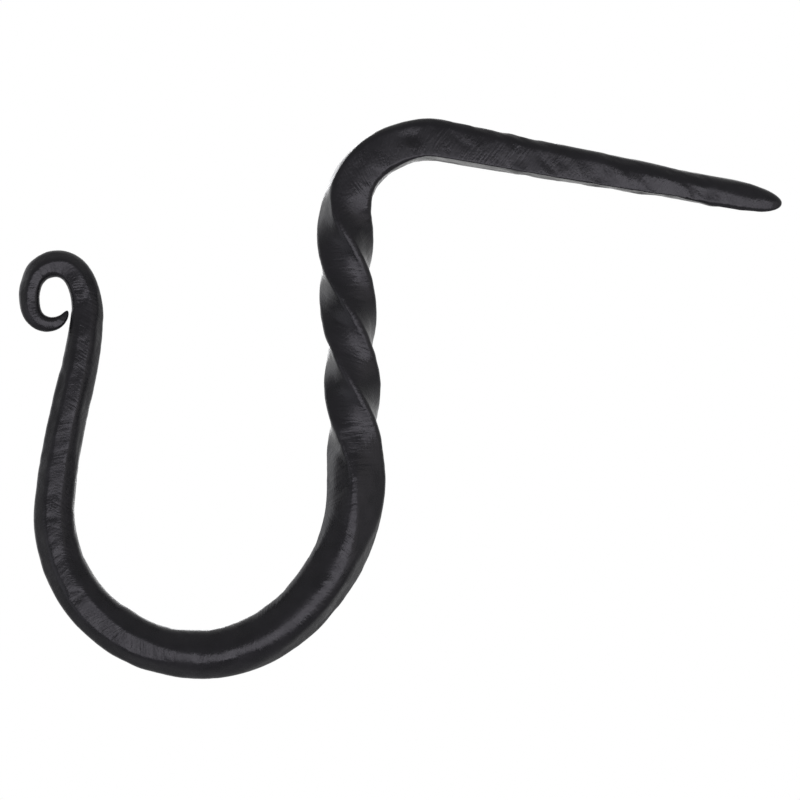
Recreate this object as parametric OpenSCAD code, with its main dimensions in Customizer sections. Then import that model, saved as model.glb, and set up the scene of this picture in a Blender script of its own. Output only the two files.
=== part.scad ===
// Forged cup hook in one piece: a driven spike, a twisted square shank, an eight-sided bowl and a scrolled end.
// The bar's centre line is a bending schedule of straights and arcs, and the bar's section is lofted along it.
// The hook lies in the XZ plane. The spike points towards +X, and the bowl hangs on the -X side.
// The origin is on the centre line, at the root of the straight spike.

/* [Bar] */
// Side of the square bar in the twisted shank
bar_side = 6; // [5:0.1:7]
// Corner cut along the bar's four edges
bar_cut = 0.55; // [0.4:0.05:1]
// Radius that softens the edges of each cut
edge_radius = 0.95; // [0.2:0.05:1.2]

/* [Spike] */
// Length of the spike from its tip to the start of the bend
spike_length = 46; // [35:0.5:60]
// Slope of the spike down towards its tip
spike_slope = 10.5; // [0:0.5:20]
// Height of the spike at its root
spike_root_height = 5.5; // [4.5:0.05:6.5]
// Thickness of the spike, front to back, at its root
spike_root_thickness = 5.6; // [4.5:0.1:6.5]
// Height of the spike where its rounded point starts
spike_point_height = 3.5; // [3:0.1:4.5]
// Thickness of the spike where its rounded point starts
spike_point_thickness = 3.4; // [2.8:0.1:4.5]
// Length of the rounded point
spike_point_length = 5.3; // [3:0.1:10]
// Roll of the spike at its point, which turns its front face up
spike_point_roll = 8; // [0:1:15]
// Corner cut along the spike's upper front and lower back edges
spike_top_cut = 1.1; // [0.4:0.05:1.3]
// Corner cut along the spike's lower front and upper back edges
spike_low_cut = 0.4; // [0.3:0.05:1.3]
// Radius that softens the edges of the spike's cuts
spike_edge_radius = 0.6; // [0.2:0.05:1.2]

/* [Bend] */
// Radius of the bend between spike and shank
bend_radius = 11.05; // [8:0.05:16]
// Angle that the bend turns through
bend_angle = 103.4; // [90:0.1:115]

/* [Twisted shank] */
// Length of the straight shank between bend and bowl
shank_length = 32.6; // [28:0.2:45]
// Angle that the bar is twisted through
twist_angle = 308; // [270:1:345]
// Length that the twist runs up into the bend
twist_lead = 4.3; // [0:0.1:6]
// Length of shank left plain below the twist
twist_tail = 2.4; // [0:0.1:5]
// Length over which the twist eases in, and out again
twist_ease = 8.6; // [4:0.2:14]

/* [Bowl] */
// Radius of the bowl where it leaves the shank
entry_radius = 24; // [20:0.5:30]
// Angle of that first part of the bowl
entry_angle = 61.5; // [50:0.5:70]
// Radius of the rest of the bowl
bowl_radius = 19; // [16:0.5:24]
// Angle of the rest of the bowl
bowl_angle = 126.8; // [115:0.1:135]
// Length of the bowl over which the bar stays square
square_run = 3; // [0:0.5:5]
// Length from the start of the bowl to where its edges are fully rounded
entry_run = 12.5; // [8:0.5:18]
// Corner cut that flattens the front and back where the rounded bowl starts
entry_front_cut = 1.6; // [1:0.1:2.2]
// Corner cut along the inside and outside where the rounded bowl starts
entry_edge_cut = 1.2; // [0.6:0.1:2]
// Width across the bar's sides in the bowl
bowl_side = 6.3; // [5.4:0.1:7]
// Corner cut that flattens the front and back of the bowl
bowl_front_cut = 1.6; // [0.8:0.1:2.2]
// Corner cut along the inside and outside of the bowl
bowl_edge_cut = 1.35; // [0.6:0.05:2]
// Radius that softens the edges of the bowl's cuts
bowl_edge_radius = 2.3; // [0.6:0.1:2.6]
// Angle that the flattened front of the bowl leans outwards
bowl_lean = 8; // [0:1:15]

/* [Leg and neck] */
// Length of the leg that rises from the bowl
leg_length = 15.3; // [8:0.1:25]
// Angle that the leg curves on in the bowl's direction
leg_angle = 9.9; // [0:0.1:15]
// Width across the sides of the eight-sided bar at the foot of the leg
leg_side = 5.3; // [4.4:0.1:6]
// Radius of the neck that sweeps back out to the scroll
neck_radius = 51.5; // [30:0.5:80]
// Angle of the neck
neck_angle = 10.7; // [5:0.1:15]
// Width across the sides of the eight-sided bar at the foot of the neck
neck_side = 5; // [4:0.05:5.5]
// Radius that softens the edges of the eight-sided bar
leg_edge_radius = 1; // [0.4:0.1:1.6]

/* [Scroll] */
// Radius of the scroll's first turn away from the neck
curl_radius = 8.7; // [8:0.1:10]
// Angle of that first turn
curl_angle = 36.8; // [30:0.1:45]
// Radius over the scroll's crown
crown_radius = 3.3; // [3.2:0.05:3.8]
// Angle over the crown
crown_angle = 123.2; // [115:0.1:126]
// Radius of the flatter side that falls from the crown
fall_radius = 6.4; // [5.5:0.1:7.5]
// Angle of that flatter side
fall_angle = 40.9; // [36:0.1:44]
// Radius of the last turn, round the scroll's eye
eye_radius = 2.45; // [2:0.05:2.5]
// Angle of the last turn
eye_angle = 150; // [110:1:155]
// Flatness of the scroll's oval bar: its thickness as a share of its width
scroll_flatness = 0.8; // [0.7:0.01:1]
// Mean thickness of the oval bar where the scroll leaves the neck
curl_thickness = 4.2; // [3.6:0.05:4.6]
// Mean thickness at the crown
crown_thickness = 3.6; // [3:0.05:4.2]
// Mean thickness at the flatter side
fall_thickness = 3.25; // [2.5:0.05:3.8]
// Mean thickness where the last turn starts
eye_thickness = 2.5; // [2:0.05:3]
// Length of the scroll's rounded point
scroll_point_length = 3.3; // [2:0.1:5]
// Mean thickness that the bar tapers to at the scroll's point
scroll_point_thickness = 1.3; // [1:0.1:1.8]
// Roll of the oval bar at the scroll's point, which turns its flatter side to the front
scroll_point_roll = 45; // [0:5:60]

/* [Hidden] */

full_turn = 360;
straight_angle = 180;
quarter_turn = 90;
eighth_turn = 45;
// Length either side of a change of bend over which the bend eases
bend_ease = 1.2;
// Length either side of a change of section over which the section eases
size_ease = 3;

// Longest straight step, and largest turn and roll, between two rings of the loft
longest_step = 3.2;
bend_step = 4;
curl_step = 7;
roll_step = 5;
// Rings on a rounded point, and points on each quarter of a ring
point_rings = 8;
quarter_points = 6;
ring_points = 4 * quarter_points;

// Share of a square's side that turns it into a regular octagon when it is cut off each corner
octagon_share = 1 - sqrt(0.5);
// Share of an edge radius that is taken off a corner cut when the section is inset by that radius
inset_share = 2 - sqrt(2);

function arc_length(radius, angle) = PI * radius * angle / straight_angle;
function sum_to(list, count) = count == 0 ? 0 : list[count - 1] + sum_to(list, count - 1);

// Bending schedule from the spike's tip: length, angle turned to the left as seen from the front, largest step
SCHEDULE = [
    [spike_length, 0, bend_step],
    [arc_length(bend_radius, bend_angle), bend_angle, bend_step],
    [shank_length, 0, bend_step],
    [arc_length(entry_radius, entry_angle), -entry_angle, bend_step],
    [arc_length(bowl_radius, bowl_angle), -bowl_angle, bend_step],
    [leg_length, -leg_angle, bend_step],
    [arc_length(neck_radius, neck_angle), neck_angle, bend_step],
    [arc_length(curl_radius, curl_angle), curl_angle, curl_step],
    [arc_length(crown_radius, crown_angle), crown_angle, curl_step],
    [arc_length(fall_radius, fall_angle), fall_angle, curl_step],
    [arc_length(eye_radius, eye_angle), eye_angle, curl_step]
];
LENGTHS = [for (stretch = SCHEDULE) stretch[0]];
PLACES = [for (i = [0:len(SCHEDULE)]) sum_to(LENGTHS, i)];
root_place = PLACES[1];
shank_place = PLACES[2];
bowl_place = PLACES[3];
end_place = PLACES[len(SCHEDULE)];

// Where the twist starts and ends
twist_start = shank_place - twist_lead;
twist_end = bowl_place - twist_tail;

// Roll after the twist that turns a corner of the square bar, and so a flat of the eight-sided one, to the front
leg_roll = full_turn - eighth_turn - twist_angle;

// Section at chosen places: height, thickness, cuts on its two pairs of opposite corners, edge radius and roll.
// On the spike the first pair is the lower front and upper back, and in the bowl it is the front and back.
function spike(height, thickness, roll) =
    [height, thickness, spike_low_cut, spike_top_cut, spike_edge_radius, roll];
function bowl(front_cut, edge_cut) =
    [bowl_side, bowl_side, front_cut, edge_cut, bowl_edge_radius, leg_roll + bowl_lean];
function octagon(side) =
    [side, side, octagon_share * side, octagon_share * side, leg_edge_radius, leg_roll];
// The scroll's oval is flatter on its outer front and inner back
function oval(size, roll = 0) =
    let (
        height = 2 * size / (1 + scroll_flatness),
        thickness = scroll_flatness * height,
        cut = octagon_share * thickness
    )
    [height, thickness, cut, cut, thickness / 2, leg_roll + roll];
SQUARE = [bar_side, bar_side, bar_cut, bar_cut, edge_radius, 0];
SECTIONS = [
    [spike_point_length, spike(spike_point_height, spike_point_thickness, spike_point_roll)],
    [root_place, spike(spike_root_height, spike_root_thickness, 0)],
    [twist_start, SQUARE],
    [bowl_place + square_run, SQUARE],
    [bowl_place + entry_run, bowl(entry_front_cut, entry_edge_cut)],
    [PLACES[4], bowl(bowl_front_cut, bowl_edge_cut)],
    [PLACES[5], octagon(leg_side)],
    [PLACES[6], octagon(neck_side)],
    [PLACES[7], oval(curl_thickness)],
    [PLACES[8], oval(crown_thickness)],
    [PLACES[9], oval(fall_thickness)],
    [PLACES[10], oval(eye_thickness)],
    [end_place, oval(scroll_point_thickness, scroll_point_roll)]
];

// Climb from 0 to 1 between two places, with each corner of the climb eased
function eased_rise(x, ease) = x < -ease ? 0 : x > ease ? x : (x + ease) ^ 2 / (4 * ease);
function climb(place, from, to, ease) =
    (eased_rise(place - from, ease) - eased_rise(place - to, ease)) / (to - from);

// Direction of the centre line: its angle up from +X, as seen from the front
function heading(place, i = 0) =
    i == len(SCHEDULE)
        ? straight_angle - spike_slope
        : SCHEDULE[i][1] * climb(place, PLACES[i], PLACES[i + 1], bend_ease) + heading(place, i + 1);

// Section at any place, and how far it has rolled about the centre line
function section_at(place, i = len(SECTIONS) - 1) =
    i == 0
        ? SECTIONS[0][1]
        : (SECTIONS[i][1] - SECTIONS[i - 1][1])
            * climb(place, SECTIONS[i - 1][0], SECTIONS[i][0], size_ease)
            + section_at(place, i - 1);
function roll_at(place) =
    section_at(place)[5] + twist_angle * climb(place, twist_start, twist_end, twist_ease / 2);

// Rounded points: how much of the section is left at a distance from the tip
function point_share(distance, length) =
    distance >= length ? 1 : sqrt(1 - (1 - distance / length) ^ 2);
function point_place(ring, length) = length * (1 - cos(quarter_turn * ring / point_rings));

// Rings of the loft, closer together where the bar bends or twists more
function steps_between(from, to, turn, largest_turn) =
    ceil(max((to - from) / longest_step, abs(turn) / largest_turn, (roll_at(to) - roll_at(from)) / roll_step));
function stretch_rings(i) =
    let (
        from = i == 0 ? spike_point_length : PLACES[i],
        to = i == len(SCHEDULE) - 1 ? end_place - scroll_point_length : PLACES[i + 1],
        steps = steps_between(from, to, SCHEDULE[i][1], SCHEDULE[i][2])
    )
    [for (step = [0:steps - 1]) from + (to - from) * step / steps];
RINGS = [
    for (ring = [1:point_rings - 1]) point_place(ring, spike_point_length),
    for (i = [0:len(SCHEDULE) - 1]) each stretch_rings(i),
    for (ring = [point_rings:-1:1]) end_place - point_place(ring, scroll_point_length)
];
STOPS = [0, each RINGS, end_place];

// Centre line in the XZ plane, stop by stop from the spike's tip, then moved so that the root is the origin
function step_after(i) =
    let (
        from = STOPS[i],
        to = STOPS[min(i + 1, len(STOPS) - 1)],
        angle = heading((from + to) / 2)
    )
    (to - from) * [cos(angle), sin(angle)];
PATH = [for (i = 0, point = [0, 0]; i < len(STOPS); point = point + step_after(i), i = i + 1) point];
root_stop = search(root_place, STOPS)[0];
CENTRES = [for (point = PATH) point - PATH[root_stop]];

// One quarter of the section: two edge arcs, one at each end of the corner cut
function quarter(a, b, cut, radius) =
    let (inner_cut = cut - inset_share * radius, arc_step = quarter_turn / quarter_points)
    [for (j = [0:quarter_points - 1])
        let (
            angle = arc_step * (j + 0.5),
            centre = j < quarter_points / 2
                ? [a - radius, b - radius - inner_cut]
                : [a - radius - inner_cut, b - radius]
        )
        centre + radius * [cos(angle), sin(angle)]];
function turned(point, angle) =
    [point.x * cos(angle) - point.y * sin(angle), point.x * sin(angle) + point.y * cos(angle)];
function section_points(size) =
    let (
        a = size[0] / 2,
        b = size[1] / 2,
        radius = min(size[4], a, b, min(size[2], size[3]) / inset_share)
    )
    [for (q = [0:3])
        let (corner = q % 2 == 0 ? quarter(a, b, size[3], radius) : quarter(b, a, size[2], radius))
        for (point = corner) turned(point, quarter_turn * q)];

// One ring in space. The section's first axis is to the right of the direction of travel, and its second to the front
function ring(i) =
    let (
        place = STOPS[i],
        share = point_share(place, spike_point_length) * point_share(end_place - place, scroll_point_length),
        angle = heading(place),
        roll = roll_at(place)
    )
    [for (flat = section_points(section_at(place)))
        let (point = share * turned(flat, roll))
        [CENTRES[i].x + point.x * sin(angle), -point.y, CENTRES[i].y - point.x * cos(angle)]];

module hook() {
    last = len(STOPS) - 1;
    tips = [[CENTRES[0].x, 0, CENTRES[0].y], [CENTRES[last].x, 0, CENTRES[last].y]];
    points = concat(tips, [for (i = [1:last - 1]) each ring(i)]);
    function corner(i, j) = 2 + (i - 1) * ring_points + j % ring_points;
    faces = [
        for (j = [0:ring_points - 1]) [0, corner(1, j + 1), corner(1, j)],
        for (i = [1:last - 2], j = [0:ring_points - 1])
            each [
                [corner(i, j), corner(i, j + 1), corner(i + 1, j + 1)],
                [corner(i, j), corner(i + 1, j + 1), corner(i + 1, j)]
            ],
        for (j = [0:ring_points - 1]) [1, corner(last - 1, j), corner(last - 1, j + 1)]
    ];
    color([0.1, 0.1, 0.11]) polyhedron(points, faces, convexity = 6);
}

hook();
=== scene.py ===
"""The looks of a forged cup hook: the CAD bar's form, with hammer marks and satin black paint."""
import math
from collections import namedtuple

import bpy
import numpy as np
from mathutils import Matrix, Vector, noise

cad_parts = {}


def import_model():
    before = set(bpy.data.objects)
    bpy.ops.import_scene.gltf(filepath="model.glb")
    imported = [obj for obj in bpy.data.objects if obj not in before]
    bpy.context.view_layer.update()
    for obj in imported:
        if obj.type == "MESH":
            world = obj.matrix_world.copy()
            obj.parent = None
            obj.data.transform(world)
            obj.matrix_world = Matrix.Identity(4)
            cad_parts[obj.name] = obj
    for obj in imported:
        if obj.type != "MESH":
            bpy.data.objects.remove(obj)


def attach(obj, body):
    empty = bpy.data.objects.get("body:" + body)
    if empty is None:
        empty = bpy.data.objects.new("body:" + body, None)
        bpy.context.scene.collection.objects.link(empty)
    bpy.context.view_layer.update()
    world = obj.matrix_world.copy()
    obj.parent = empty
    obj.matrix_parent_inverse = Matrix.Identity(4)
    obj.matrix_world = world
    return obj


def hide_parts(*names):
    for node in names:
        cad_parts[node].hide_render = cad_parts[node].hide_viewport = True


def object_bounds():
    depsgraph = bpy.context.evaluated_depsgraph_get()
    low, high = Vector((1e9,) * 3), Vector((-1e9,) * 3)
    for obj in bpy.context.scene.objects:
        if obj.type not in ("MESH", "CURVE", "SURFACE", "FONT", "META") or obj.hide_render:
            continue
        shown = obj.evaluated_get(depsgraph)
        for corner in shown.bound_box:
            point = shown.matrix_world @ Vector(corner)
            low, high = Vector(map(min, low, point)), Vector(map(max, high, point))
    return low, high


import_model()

CAD_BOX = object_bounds()
MM = 0.001

# Bending schedule from the spike's tip, in millimetres and degrees. Angles turn to the left, as
# seen from the front.
SPIKE_LENGTH = 46.0
SPIKE_SLOPE = 10.5
BEND_RADIUS, BEND_ANGLE = 11.05, 103.4
SHANK_LENGTH = 32.6
ENTRY_RADIUS, ENTRY_ANGLE = 24.0, 61.5
BOWL_RADIUS, BOWL_ANGLE = 19.0, 126.8
LEG_LENGTH, LEG_ANGLE = 15.3, 9.9
NECK_RADIUS, NECK_ANGLE = 51.5, 10.7
CURL_RADIUS, CURL_ANGLE = 8.7, 36.8
CROWN_RADIUS, CROWN_ANGLE = 3.3, 123.2
FALL_RADIUS, FALL_ANGLE = 6.4, 40.9
EYE_RADIUS, EYE_ANGLE = 2.45, 150.0
SPIKE_POINT_LENGTH = 5.3
SCROLL_POINT_LENGTH = 3.3

# The twist: its angle, how far it runs up into the bend, what it leaves plain above the bowl, and
# how it eases
TWIST_ANGLE = 308.0
TWIST_LEAD = 4.3
TWIST_TAIL = 2.4
TWIST_EASE = 8.6

# Sizes of the bar's section
BAR_SIDE, BAR_CUT, EDGE_RADIUS = 6.0, 0.55, 0.95
SPIKE_ROOT = (5.5, 5.6)
SPIKE_POINT = (3.5, 3.4)
SPIKE_TOP_CUT, SPIKE_LOW_CUT, SPIKE_EDGE_RADIUS, SPIKE_POINT_ROLL = 1.1, 0.4, 0.6, 8.0
BOWL_SIDE, BOWL_EDGE_RADIUS, BOWL_LEAN = 6.3, 2.3, 8.0
SQUARE_RUN, ENTRY_RUN, ENTRY_FRONT_CUT, ENTRY_EDGE_CUT = 3.0, 12.5, 1.6, 1.2
BOWL_FRONT_CUT, BOWL_EDGE_CUT = 1.6, 1.35
LEG_SIDE, NECK_SIDE, LEG_EDGE_RADIUS = 5.3, 5.0, 1.0
SCROLL_SIZES = (4.2, 3.6, 3.25, 2.5, 1.3)
SCROLL_ROLLS = (0.0, 0.0, 0.0, 0.0, 45.0)
SCROLL_FLATNESS = 0.8

# What the hammer softened: the radius of the spike's wide upper edge at its point and its root, the
# cut of that edge at the root, and how far faces bulge, as a share
SPIKE_POINT_SOFT, SPIKE_ROOT_SOFT = 1.8, 1.2
SPIKE_ROOT_TOP_CUT = 0.8
PLAIN_CROWN, BOWL_CROWN = 0.10, 0.40

# How far a bend and a change of section ease into the next, in millimetres
BEND_EASE = 1.2
SIZE_EASE = 3.0

# The corner cut of an even octagon as a share of its width, and how much of a corner's cut each
# millimetre of edge radius takes up
OCTAGON_SHARE = 1 - math.sqrt(0.5)
INSET_SHARE = 2 - math.sqrt(2)

# Facets between the hammer's blows, in millimetres: length along the bar and width round it, how
# much deeper a facet gets with the squared distance from its middle, the limit of that, and how far
# its middle stands proud
FACET_LENGTH, FACET_WIDTH, FACET_DEPTH, FACET_LIMIT, FACET_PROUD = 4.6, 3.8, 0.20, 0.5, 0.03

# Waves along the bar: size and depth in millimetres
WAVE_SIZE, WAVE_DEPTH = 6.5, 0.13

# Tilted marks: their lean from the bar's length in degrees, and then their length, width and depth
# in millimetres. The rough ones are the spike's. They fade out over a length that ends a little
# before the twisted shank, and the drawn ones take over.
ROUGH_LEAN, ROUGH_SIZE, ROUGH_DEPTH = 32, (4.0, 1.3), 0.095
DRAWN_LEAN, DRAWN_SIZE, DRAWN_DEPTH = 65, (3.6, 1.4), 0.045
ROUGH_FADE, ROUGH_MARGIN = 12, 6

# Their fractal noise: how fast finer layers weaken, how much finer each one is, and how many
FRACTAL = (1.0, 2.0, 2)

# How far all these marks may stand proud of the bar, in millimetres
PROUD = 0.02

# Single marks in millimetres: place along the bar, place across it and to the front, half length,
# half height, and depth. One with a negative depth stands proud.
DENTS = [
    (9.4, -1.9, 0.8, 0.9, 1.2, -0.16),
    (9.8, -0.2, 2.0, 1.4, 0.9, 0.10),
    (21.0, 2.2, 0.8, 1.6, 1.4, 0.12),
    (35.4, -2.6, 0.8, 1.2, 1.4, -0.18),
    (37.2, 2.9, 0.5, 1.0, 1.6, -0.16),
    (50.0, 0.6, 2.9, 1.1, 0.8, 0.16),
    (51.2, 1.7, 2.9, 0.6, 0.5, -0.08),
    (58.0, 0.6, 2.9, 0.6, 0.35, 0.08),
    (59.6, -1.5, 2.9, 0.4, 0.35, -0.07),
    (152.8, -2.0, 2.0, 0.7, 1.6, 0.10),
    (164.0, -1.8, 1.8, 0.5, 1.2, 0.09),
    (192.3, -1.5, 1.5, 2.6, 1.6, 0.24),
    (204.5, 1.0, 1.3, 0.9, 1.0, 0.14),
]

# Faces that the hammer left flat, in the order of its blows: where each starts and ends along the
# bar, the lengths over which it fades in and out, its lean from the front towards the left of
# travel in degrees, and its depth as a share of the bar's reach
FLATS = [
    (8.0, 54.0, 6.0, 6.0, 85.0, 0.12),
    (53.0, 64.0, 5.0, 5.0, -84.0, 0.10),
    (104.0, 129.0, 6.0, 8.0, 67.0, 0.11),
    (92.6, 99.0, 1.6, 3.0, 9.0, 0.07),
    (94.5, 111.0, 3.0, 6.0, -66.0, 0.08),
    (137.0, 153.8, 5.0, 0.8, 5.0, 0.06),
    (170.0, 194.0, 8.0, 4.0, -67.0, 0.11),
    (190.0, 201.0, 3.0, 2.0, 4.0, 0.12),
]

# The scroll's flat front face, which runs to the bar's end: where it starts, the length over which
# it fades in, its direction in the hook's own axes, and its depth as a share of the bar's reach
SCROLL_FLAT = (184.0, 8.0, (0.09, -0.98, -0.18), 0.07)

# How softly a flat meets the rest of the bar, and the least that it pushes back, in millimetres
FLAT_EDGE = 0.06
FLAT_LEAST = FLAT_EDGE / 4

# Places where the bar is fuller, or thinner where the amount is negative: place, side (1 is right
# of travel), half length, and amount in millimetres
SWELLS = [
    (6.0, 1, 4.0, 0.16),
    (20.5, -1, 4.0, 0.14),
    (21.5, 1, 5.0, 0.14),
    (31.0, -1, 7.0, 0.11),
    (51.5, 1, 2.6, -0.22),
    (57.0, -1, 4.0, -0.08),
    (58.8, 1, 2.2, 0.26),
    (64.2, 1, 2.0, -0.18),
    (72.5, 1, 2.6, 0.24),
    (82.5, -1, 4.0, -0.09),
    (83.5, 1, 2.4, -0.20),
    (98.0, 1, 6.0, 0.34),
    (113.0, 1, 9.0, 0.20),
    (146.0, 1, 3.0, 0.20),
    (177.0, -1, 5.0, -0.14),
]

# The mesh: millimetres between rings, steps on each rounded point, points round each ring, and the
# share of their spacing that crowds them on the section's edges
RING_STEP = 0.21
POINT_STEPS = 14
RING_POINTS = 88
EDGE_CROWDING = 0.5

# Half of a corner's turn in degrees, which is one arc with this many samples, and the samples of the
# whole centre line
HALF_CORNER = 45
ARC_SAMPLES = 12
CENTRE_SAMPLES = 20000

# The paint's patches, its grain and where its streaks change kind: turns to the millimetre, and
# layers of finer detail
PATCHES, GRAIN, STREAK_MIX = (0.35, 4.0), (3.0, 3.0), (0.13, 1.0)

# Fine and long brush streaks: size along the bar and both ways across it in millimetres, and how
# far they lean from straight across, one kind to each side, in degrees
FINE_STREAK, LONG_STREAK = (0.30, 2.6, 2.6), (0.55, 4.5, 4.5)
BRUSH_ANGLE = 28.0

# The streaks' layers of detail, and how strong each finer layer is in them and in the others
STREAK_DETAIL, STREAK_LAYER, EVEN_LAYER = 2.0, 0.55, 0.5

# Spans of a value: the whole one, the part of a noise that counts, and less of it for clear borders
WHOLE, NOISE_SPAN, CLEAR_SPAN = (0.0, 1.0), (0.35, 0.65), (0.42, 0.58)

# The paint's two colours, its roughness and what the grain adds to it, the height of its streaks
# and of its grain in metres, and the level and tint of its gloss
PAINT_DARK, PAINT_PALE = (0.0028, 0.0027, 0.0034, 1), (0.0052, 0.0050, 0.0060, 1)
PAINT_ROUGHNESS, GRAIN_ROUGHNESS = (0.25, 0.36), (-0.03, 0.03)
STREAK_HEIGHT, GRAIN_HEIGHT = 0.00006, 0.00003
GLOSS_LEVEL, GLOSS_TINT = 0.16, (0.96, 0.94, 1.0, 1)

# The colour sockets of a Mix node go by number, because its other kinds share their names
MIX_FIRST, MIX_SECOND, MIX_RESULT = 6, 7, 2

# The camera stands square to the hook's plane. The frame's middle and width are sizes in that
# plane, in millimetres.
FRAME_MIDDLE = (-5.67, -34.52)
FRAME_WIDTH = 106.67
CAMERA_DISTANCE = 500.0
SENSOR_WIDTH = 36.0

# Soft boxes that face the hook's middle, all from one distance in metres: name, direction from the
# hook, width and height in metres, radiance of the lit face, and tint
LAMP_DISTANCE = 0.8
LAMPS = [
    ("front_lamp", (0.15, -0.91, -0.29), (0.95, 0.40), 6.2, (0.97, 0.95, 1.0)),
    ("right_lamp", (0.85, -0.50, -0.20), (0.5, 0.7), 1.0, (1.0, 0.95, 0.92)),
    ("left_lamp", (-0.80, -0.45, -0.40), (0.5, 0.6), 1.3, (0.92, 0.93, 1.0)),
    ("back_lamp", (-0.10, 0.97, 0.12), (0.32, 0.26), 2.6, (0.97, 0.97, 1.0)),
    ("rear_lamp", (-0.80, 0.52, 0.24), (0.4, 0.8), 0.8, (0.94, 0.95, 1.0)),
]

# White as it is seen, and the level of the world's light on other things
WHITE = (1, 1, 1, 1)
WORLD_LEVEL = 0.3

# The floor: how far it lies under the hook and reaches to each side, in metres, and its finish
FLOOR_DROP = 0.62
FLOOR_REACH = 2.0
FLOOR_TONES, FLOOR_ROUGHNESS = (0.88, 0.92), 0.9
SPECKLE_SCALE, SPECKLE_DETAIL = 40.0, 3.0

# Its fade to white: the distances from the floor's middle in metres, and the light shown at them
FADE_REACH, FADE_LIGHT = (1.1, 1.9), (0.15, 0.74)


def arc(radius, angle):
    """An arc of the schedule: its length, and the angle it turns through."""
    return (math.radians(abs(angle)) * radius, angle)


SCHEDULE = [
    (SPIKE_LENGTH, 0.0),
    arc(BEND_RADIUS, BEND_ANGLE),
    (SHANK_LENGTH, 0.0),
    arc(ENTRY_RADIUS, -ENTRY_ANGLE),
    arc(BOWL_RADIUS, -BOWL_ANGLE),
    (LEG_LENGTH, -LEG_ANGLE),
    arc(NECK_RADIUS, NECK_ANGLE),
    arc(CURL_RADIUS, CURL_ANGLE),
    arc(CROWN_RADIUS, CROWN_ANGLE),
    arc(FALL_RADIUS, FALL_ANGLE),
    arc(EYE_RADIUS, EYE_ANGLE),
]
PLACES = np.concatenate([[0.0], np.cumsum([length for length, _ in SCHEDULE])])
TWIST_START = PLACES[2] - TWIST_LEAD
TWIST_END = PLACES[3] - TWIST_TAIL

# Roll that turns a flat of the eight-sided leg to the front, after the twist
FRONT_FLAT = 315.0
LEG_ROLL = FRONT_FLAT - TWIST_ANGLE

# The sizes of a section. A pair's cut and radius are those of two opposite corners.
Section = namedtuple("Section", [
    "height", "thickness", "first_cut", "second_cut",
    "first_radius", "roll", "second_radius", "crown",
])


def octagon(side, radius):
    """Section of an eight-sided bar. It is a round one where the edge radius is half the side."""
    cut = OCTAGON_SHARE * side
    return Section(side, side, cut, cut, radius, LEG_ROLL, radius, PLAIN_CROWN)


def oval(size, roll):
    """Section of the scroll: an oval of a mean size, flat on its outer front and inner back."""
    height = 2 * size / (1 + SCROLL_FLATNESS)
    thickness = height * SCROLL_FLATNESS
    cut, radius = OCTAGON_SHARE * thickness, thickness / 2
    return Section(height, thickness, cut, cut, radius, LEG_ROLL + roll, radius, PLAIN_CROWN)


def spike(size, top_cut, top_radius, roll):
    """Section of the spike: its upper front edge is cut wider than the lower one."""
    return Section(*size, SPIKE_LOW_CUT, top_cut, SPIKE_EDGE_RADIUS, roll, top_radius, PLAIN_CROWN)


def bowl(front_cut, edge_cut):
    """Section of the bowl, which turns one of its rounded edges to the front."""
    side, radius, roll = BOWL_SIDE, BOWL_EDGE_RADIUS, LEG_ROLL + BOWL_LEAN
    return Section(side, side, front_cut, edge_cut, radius, roll, radius, BOWL_CROWN)


SQUARE = Section(BAR_SIDE, BAR_SIDE, BAR_CUT, BAR_CUT, EDGE_RADIUS, 0.0, EDGE_RADIUS, PLAIN_CROWN)

# The bar's sections by place. Each size climbs evenly from one to the next.
SECTIONS = [
    (SPIKE_POINT_LENGTH, spike(SPIKE_POINT, SPIKE_TOP_CUT, SPIKE_POINT_SOFT, SPIKE_POINT_ROLL)),
    (PLACES[1], spike(SPIKE_ROOT, SPIKE_ROOT_TOP_CUT, SPIKE_ROOT_SOFT, 0.0)),
    (TWIST_START, SQUARE),
    (PLACES[3] + SQUARE_RUN, SQUARE),
    (PLACES[3] + ENTRY_RUN, bowl(ENTRY_FRONT_CUT, ENTRY_EDGE_CUT)),
    (PLACES[4], bowl(BOWL_FRONT_CUT, BOWL_EDGE_CUT)),
    (PLACES[5], octagon(LEG_SIDE, LEG_EDGE_RADIUS)),
    (PLACES[6], octagon(NECK_SIDE, LEG_EDGE_RADIUS)),
]
SECTIONS += zip(PLACES[7:], map(oval, SCROLL_SIZES, SCROLL_ROLLS))


def climb(place, start, end, ease):
    """Climb from 0 to 1 between two places, with both corners of the climb eased."""
    def eased_rise(x):
        return np.where(x < -ease, 0.0, np.where(x > ease, x, (x + ease) ** 2 / (4 * ease)))
    return (eased_rise(place - start) - eased_rise(place - end)) / (end - start)


def heading_at(place):
    """Direction of the centre line in radians, up from +X as seen from the front."""
    angle = 180.0 - SPIKE_SLOPE
    for i, (_, turn) in enumerate(SCHEDULE):
        angle = angle + turn * climb(place, PLACES[i], PLACES[i + 1], BEND_EASE)
    return np.radians(angle)


def section_at(place):
    """The section's sizes, one row for each place."""
    sizes = np.tile(np.array(SECTIONS[0][1], float), (len(place), 1))
    for (start, before), (end, after) in zip(SECTIONS, SECTIONS[1:]):
        sizes += np.outer(climb(place, start, end, SIZE_EASE), np.subtract(after, before))
    return sizes


def point_share(distance, length):
    """How much of the section is left at a distance from a rounded tip."""
    return np.sqrt(1 - (1 - np.clip(distance / length, 0, 1)) ** 2)


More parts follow.
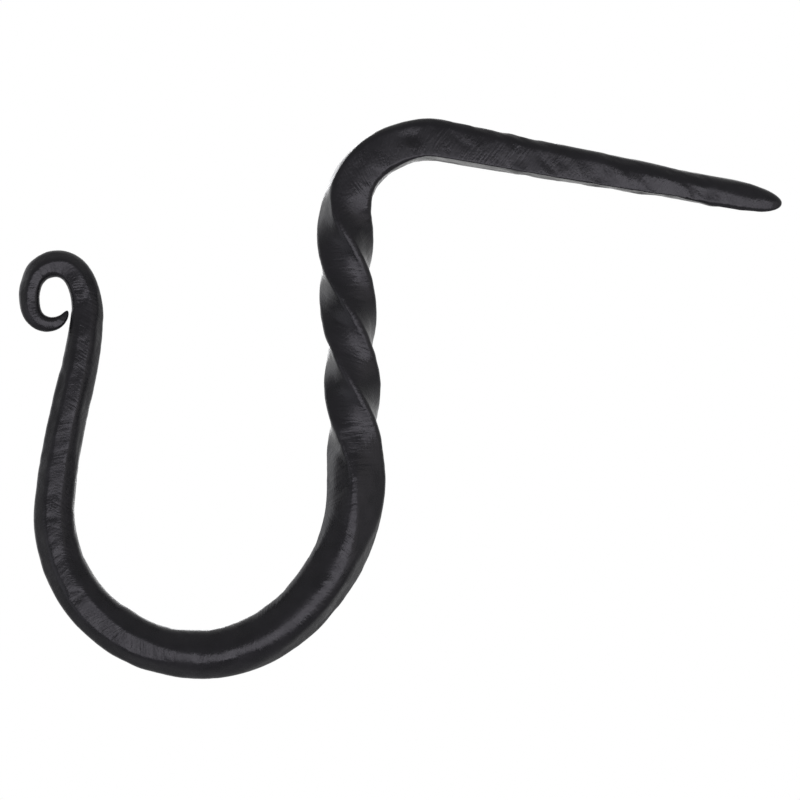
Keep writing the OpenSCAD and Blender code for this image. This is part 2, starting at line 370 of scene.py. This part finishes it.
def stops():
    """Places of the rings: even steps along the bar, and finer ones on both rounded points."""
    turn = np.linspace(0, math.pi / 2, POINT_STEPS + 1)[1:-1]
    spike_point = SPIKE_POINT_LENGTH * (1 - np.cos(turn))
    scroll_point = PLACES[-1] - SCROLL_POINT_LENGTH * (1 - np.cos(turn[::-1]))
    start, end = SPIKE_POINT_LENGTH, PLACES[-1] - SCROLL_POINT_LENGTH
    middle = np.linspace(start, end, int((end - start) / RING_STEP))
    return np.concatenate([spike_point, middle, scroll_point])


def centre_line(place):
    """X and Z of the centre line in millimetres, from the spike's root."""
    fine = np.linspace(0, PLACES[-1], CENTRE_SAMPLES)
    middle = heading_at((fine[1:] + fine[:-1]) / 2)
    step = np.diff(fine)
    x = np.concatenate([[0], np.cumsum(step * np.cos(middle))])
    z = np.concatenate([[0], np.cumsum(step * np.sin(middle))])
    x -= np.interp(PLACES[1], fine, x)
    z -= np.interp(PLACES[1], fine, z)
    return np.interp(place, fine, x), np.interp(place, fine, z)


def turned(x, y, angle):
    """Coordinates turned to the left by an angle in radians."""
    return x * np.cos(angle) - y * np.sin(angle), x * np.sin(angle) + y * np.cos(angle)


def section_outline(sizes):
    """Points round one section, closer on its edges, with the outward direction at each."""
    size = Section(*sizes)
    half_height, half_thickness = size.height / 2, size.thickness / 2
    points, angles = [], []
    for quarter in range(4):
        if quarter % 2 == 0:
            a, b, cut, radius = half_height, half_thickness, size.second_cut, size.second_radius
        else:
            a, b, cut, radius = half_thickness, half_height, size.first_cut, size.first_radius
        radius = min(radius, a, b, cut / INSET_SHARE)
        cut -= INSET_SHARE * radius
        spin = quarter * math.pi / 2
        centres = (a - radius, b - radius - cut), (a - radius - cut, b - radius)
        for first, (x, y) in zip((0, HALF_CORNER), centres):
            turn = np.radians(np.linspace(first, first + HALF_CORNER, ARC_SAMPLES))
            edge = turned(x + radius * np.cos(turn), y + radius * np.sin(turn), spin)
            points.append(np.column_stack(edge))
            angles.append(turn + spin)
    points, angles = np.concatenate(points), np.concatenate(angles)
    points = np.vstack([points, points[:1]])
    angles = np.append(angles, angles[0] + 2 * math.pi)
    length = np.concatenate([[0], np.cumsum(np.hypot(*np.diff(points, axis=0).T))])
    length_share, turn_share = length / length[-1], (angles - angles[0]) / (2 * math.pi)
    spread = (1 - EDGE_CROWDING) * length_share + EDGE_CROWDING * turn_share
    where = (np.arange(RING_POINTS) + 0.5) / RING_POINTS
    x, y = np.interp(where, spread, points[:, 0]), np.interp(where, spread, points[:, 1])
    return np.column_stack((x, y)), np.interp(where, spread, angles)


def crowned(outlines, crown):
    """Section outlines with slightly bulging faces, as hammering leaves them."""
    reach = np.linalg.norm(outlines, axis=2, keepdims=True)
    return outlines * (1 + crown[:, None, None] * (reach.mean(1, keepdims=True) / reach - 1))


def tilted_noise(s, x, y, lean, size):
    """Noise about zero whose patches are drawn out, and lean away from the bar's length."""
    along, across = size
    cosine, sine = math.cos(math.radians(lean)), math.sin(math.radians(lean))
    u, v = s * cosine + x * sine, x * cosine - s * sine
    return noise.fractal(Vector((u / along, v / across, y / across)), *FRACTAL)


def hammer_relief(bar):
    """Depth in millimetres of the hammer's marks at each point of the straight bar."""
    depth = np.zeros(len(bar))
    rough_share = np.clip((PLACES[2] - ROUGH_MARGIN - bar[:, 0]) / ROUGH_FADE, 0, 1)
    for i, (s, x, y) in enumerate(bar):
        facet = noise.voronoi(Vector((s / FACET_LENGTH, x / FACET_WIDTH, y / FACET_WIDTH)),
                              distance_metric="DISTANCE_SQUARED")[0][0]
        facets = min(facet, FACET_LIMIT) * FACET_DEPTH - FACET_PROUD
        waves = noise.noise(Vector((s / WAVE_SIZE, x / WAVE_SIZE, y / WAVE_SIZE))) * WAVE_DEPTH
        rough = tilted_noise(s, x, y, ROUGH_LEAN, ROUGH_SIZE) * ROUGH_DEPTH * rough_share[i]
        drawn = tilted_noise(s, x, y, DRAWN_LEAN, DRAWN_SIZE) * DRAWN_DEPTH * (1 - rough_share[i])
        depth[i] = facets + waves + rough + drawn
    depth = np.maximum(depth, -PROUD)
    for place, across, front, length, height, hollow in DENTS:
        away = ((bar[:, 0] - place) / length) ** 2 + ((bar[:, 1] - across) / height) ** 2
        away += ((bar[:, 2] - front) / height) ** 2
        depth += hollow * np.exp(-away)
    return depth


def flattened(across, forward, lean_across, lean_forward, depth):
    """Points pushed back to a plane that lies each ring's share of the reach under its surface."""
    depth = depth[:, None]
    height = across * lean_across + forward * lean_forward
    over = height - height.max(axis=1, keepdims=True) * (1 - depth)
    over = np.where(depth > 0, (over + np.sqrt(over ** 2 + FLAT_EDGE ** 2)) / 2, 0)
    over = np.where(over > FLAT_LEAST, over, 0)
    return across - over * lean_across, forward - over * lean_forward


def hammered_flats(place, heading, across, forward):
    """The bar with its hammered flats, in front-facing section axes."""
    for start, end, fade_in, fade_out, lean, depth in FLATS:
        share = np.clip((place - start) / fade_in, 0, 1) * np.clip((end - place) / fade_out, 0, 1)
        lean = math.radians(lean)
        across, forward = flattened(across, forward, -math.sin(lean), math.cos(lean), depth * share)
    start, fade_in, (x, y, z), depth = SCROLL_FLAT
    share = np.clip((place - start) / fade_in, 0, 1)
    lean_across = (x * np.sin(heading) - z * np.cos(heading))[:, None]
    return flattened(across, forward, lean_across, -y, depth * share)


def swollen(place, across):
    """The bar where it is fuller or thinner on one side."""
    reach = np.abs(across).max(axis=1, keepdims=True)
    for where, side, length, amount in SWELLS:
        swell = amount * np.exp(-((place - where) / length) ** 2)[:, None]
        across = across + side * swell * np.clip(side * across / reach, 0, 1) ** 2
    return across


def hook_points(place):
    """Points of all rings and then both tips in millimetres, on the straight bar and the hook."""
    x, z = centre_line(place)
    tip_x, tip_z = centre_line(PLACES[[0, -1]])
    heading = heading_at(place)
    sizes = section_at(place)
    columns = Section(*sizes.T)
    twist = TWIST_ANGLE * climb(place, TWIST_START, TWIST_END, TWIST_EASE / 2)
    roll = np.radians(columns.roll + twist)
    share = point_share(place, SPIKE_POINT_LENGTH)
    share *= point_share(PLACES[-1] - place, SCROLL_POINT_LENGTH)
    outlines, outward = map(np.array, zip(*map(section_outline, sizes)))
    flat = crowned(outlines, columns.crown) * share[:, None, None]
    bar = np.dstack([np.repeat(place[:, None], RING_POINTS, 1), flat]).reshape(-1, 3)
    relief = hammer_relief(bar).reshape(len(place), RING_POINTS) * share[:, None]
    across, forward = turned(flat[:, :, 0], flat[:, :, 1], roll[:, None])
    across, forward = hammered_flats(place, heading, across, forward)
    across = swollen(place, across)
    across = across - relief * np.cos(outward + roll[:, None])
    forward = forward - relief * np.sin(outward + roll[:, None])
    points = np.dstack([
        x[:, None] + across * np.sin(heading)[:, None],
        -forward,
        z[:, None] - across * np.cos(heading)[:, None],
    ]).reshape(-1, 3)
    bar_tips = np.array([[0, 0, 0], [PLACES[-1], 0, 0]])
    tips = np.column_stack((tip_x, np.zeros(2), tip_z))
    return np.vstack([bar, bar_tips]), np.vstack([points, tips])


def ring_faces(rings):
    """Quads between the rings, and triangles from both end rings to the tips."""
    ring = np.arange(RING_POINTS)
    after = np.roll(ring, -1)
    faces = []
    for i in range(rings - 1):
        a, b = i * RING_POINTS, (i + 1) * RING_POINTS
        faces += np.column_stack((a + after, a + ring, b + ring, b + after)).tolist()
    end = (rings - 1) * RING_POINTS
    first_tip, last_tip = end + RING_POINTS, end + RING_POINTS + 1
    faces += [[first_tip, j, k] for j, k in zip(ring, after)]
    faces += [[last_tip, end + k, end + j] for j, k in zip(ring, after)]
    return faces


def hook_mesh():
    """The whole bar as one closed mesh in metres. Points keep their place in the straight bar."""
    place = stops()
    bar, points = hook_points(place)
    vertices = np.clip(points * MM, *CAD_BOX)
    mesh = bpy.data.meshes.new("hook_forged")
    mesh.from_pydata(vertices.tolist(), [], ring_faces(len(place)))
    mesh.validate()
    mesh.shade_smooth()
    attribute = mesh.attributes.new("bar", "FLOAT_VECTOR", "POINT")
    attribute.data.foreach_set("vector", bar.astype(np.float32).ravel())
    return mesh


def node(tree, kind, **inputs):
    """A new shader node with its inputs set, or linked where a socket is given."""
    made = tree.nodes.new(kind)
    for name, value in inputs.items():
        socket = made.inputs[name.replace("_", " ")]
        if isinstance(value, bpy.types.NodeSocket):
            tree.links.new(value, socket)
        else:
            socket.default_value = value
    return made


def joined(tree, operation, first, second):
    """The value of a new math node that joins two sockets."""
    made = tree.nodes.new("ShaderNodeMath")
    made.operation = operation
    tree.links.new(first, made.inputs[0])
    tree.links.new(second, made.inputs[1])
    return made.outputs[0]


def ramp(tree, value, to_span, from_span=WHOLE):
    """A socket's value, carried from one span to another and held at both ends."""
    return node(tree, "ShaderNodeMapRange", Value=value, From_Min=from_span[0],
                From_Max=from_span[1], To_Min=to_span[0], To_Max=to_span[1]).outputs["Result"]


def seen_or_mirrored(tree):
    """1 for rays from the camera, reflections and refractions, and 0 for light on other things."""
    path = tree.nodes.new("ShaderNodeLightPath")
    seen = joined(tree, "MAXIMUM", path.outputs["Is Camera Ray"], path.outputs["Is Glossy Ray"])
    return joined(tree, "MAXIMUM", seen, path.outputs["Is Transmission Ray"])


def new_material(name):
    """A new material, with its node tree and its shader."""
    material = bpy.data.materials.new(name)
    material.use_nodes = True
    return material, material.node_tree, material.node_tree.nodes["Principled BSDF"]


def black_paint():
    """Satin black paint over hammered iron: uneven gloss and colour, and fine oblique streaks."""
    material, tree, shader = new_material("black_iron")
    attribute = tree.nodes.new("ShaderNodeAttribute")
    attribute.attribute_name = "bar"
    bar = attribute.outputs["Vector"]

    def noise_on(mapping, detail, layer):
        return node(tree, "ShaderNodeTexNoise", Vector=mapping.outputs["Vector"], Scale=1.0,
                    Detail=detail, Roughness=layer).outputs["Fac"]

    def even_noise(scale, detail):
        mapping = node(tree, "ShaderNodeMapping", Vector=bar, Scale=(scale, scale, scale))
        return noise_on(mapping, detail, EVEN_LAYER)

    def brushed(angle, size):
        rotation = (0, 0, math.radians(angle))
        mapping = node(tree, "ShaderNodeMapping", Vector=bar, Rotation=rotation, Scale=size)
        mapping.vector_type = "TEXTURE"
        return noise_on(mapping, STREAK_DETAIL, STREAK_LAYER)

    patches = even_noise(*PATCHES)
    grain = even_noise(*GRAIN)
    fine_streaks = brushed(BRUSH_ANGLE, FINE_STREAK)
    long_streaks = brushed(-BRUSH_ANGLE, LONG_STREAK)
    where = ramp(tree, even_noise(*STREAK_MIX), WHOLE, CLEAR_SPAN)
    streaks = node(tree, "ShaderNodeMix", Factor=where, A=fine_streaks, B=long_streaks)
    colour = node(tree, "ShaderNodeMix", Factor=ramp(tree, patches, WHOLE, NOISE_SPAN))
    colour.data_type = "RGBA"
    colour.inputs[MIX_FIRST].default_value = PAINT_DARK
    colour.inputs[MIX_SECOND].default_value = PAINT_PALE
    tree.links.new(colour.outputs[MIX_RESULT], shader.inputs["Base Color"])
    roughness = joined(tree, "ADD", ramp(tree, patches, PAINT_ROUGHNESS, NOISE_SPAN),
                       ramp(tree, grain, GRAIN_ROUGHNESS, NOISE_SPAN))
    tree.links.new(roughness, shader.inputs["Roughness"])
    streak_bump = node(tree, "ShaderNodeBump", Height=streaks.outputs["Result"], Strength=1.0,
                       Distance=STREAK_HEIGHT)
    grain_bump = node(tree, "ShaderNodeBump", Height=grain, Strength=1.0, Distance=GRAIN_HEIGHT,
                      Normal=streak_bump.outputs["Normal"])
    tree.links.new(grain_bump.outputs["Normal"], shader.inputs["Normal"])
    shader.inputs["Specular IOR Level"].default_value = GLOSS_LEVEL
    shader.inputs["Specular Tint"].default_value = GLOSS_TINT
    return material


def floor_material():
    """Pale floor with a faint speckle, which keeps the hook's shadow and fades to white far off."""
    material, tree, shader = new_material("pale_floor")
    speckle = node(tree, "ShaderNodeTexNoise", Scale=SPECKLE_SCALE, Detail=SPECKLE_DETAIL)
    tree.links.new(ramp(tree, speckle.outputs["Fac"], FLOOR_TONES), shader.inputs["Base Color"])
    shader.inputs["Roughness"].default_value = FLOOR_ROUGHNESS
    place = tree.nodes.new("ShaderNodeTexCoord")
    reach = tree.nodes.new("ShaderNodeVectorMath")
    reach.operation = "LENGTH"
    tree.links.new(place.outputs["Object"], reach.inputs[0])
    fade = ramp(tree, reach.outputs["Value"], FADE_LIGHT, FADE_REACH)
    shown = joined(tree, "MULTIPLY", fade, seen_or_mirrored(tree))
    shader.inputs["Emission Color"].default_value = WHITE
    tree.links.new(shown, shader.inputs["Emission Strength"])
    return material


def placed(name, data):
    """A new object in the scene."""
    made = bpy.data.objects.new(name, data)
    bpy.context.scene.collection.objects.link(made)
    return made


def camera():
    """The camera, at the photo's angle and with the photo's frame."""
    data = bpy.data.cameras.new("camera")
    data.sensor_width = SENSOR_WIDTH
    data.lens = SENSOR_WIDTH * CAMERA_DISTANCE / FRAME_WIDTH
    made = placed("camera", data)
    made.location = (FRAME_MIDDLE[0] * MM, -CAMERA_DISTANCE * MM, FRAME_MIDDLE[1] * MM)
    made.rotation_euler = (math.pi / 2, 0, 0)
    bpy.context.scene.camera = made


def hook():
    """The forged bar, which stands for the CAD's own."""
    mesh = hook_mesh()
    mesh.materials.append(black_paint())
    made = placed("hook_forged", mesh)
    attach(made, "root")
    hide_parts("hook")


def floor():
    """A wide flat floor well under the hanging hook."""
    height = CAD_BOX[0][2] - FLOOR_DROP
    signs = ((-1, -1), (1, -1), (1, 1), (-1, 1))
    corners = [(x * FLOOR_REACH, y * FLOOR_REACH, height) for x, y in signs]
    mesh = bpy.data.meshes.new("floor")
    mesh.from_pydata(corners, [], [[0, 1, 2, 3]])
    mesh.materials.append(floor_material())
    placed("floor", mesh)


def lamps():
    """The soft boxes. The paint mirrors them, and the camera doesn't see them."""
    middle = Vector((FRAME_MIDDLE[0] * MM, 0, FRAME_MIDDLE[1] * MM))
    for name, direction, (width, height), radiance, tint in LAMPS:
        data = bpy.data.lights.new(name, "AREA")
        data.shape = "RECTANGLE"
        data.size, data.size_y = width, height
        data.energy = radiance * math.pi * width * height
        data.color = tint
        made = placed(name, data)
        made.location = middle + Vector(direction).normalized() * LAMP_DISTANCE
        made.rotation_euler = (middle - made.location).to_track_quat("-Z", "Y").to_euler()
        made.visible_camera = False


def world():
    """White to the camera, reflections and refractions, and a plain dim light on other things."""
    made = bpy.data.worlds.new("studio")
    bpy.context.scene.world = made
    made.use_nodes = True
    tree = made.node_tree
    background = tree.nodes["Background"]
    background.inputs["Color"].default_value = WHITE
    level = ramp(tree, seen_or_mirrored(tree), (WORLD_LEVEL, 1.0))
    tree.links.new(level, background.inputs["Strength"])


camera()
hook()
floor()
lamps()
world()
bpy.context.scene.view_settings.view_transform = "Standard"
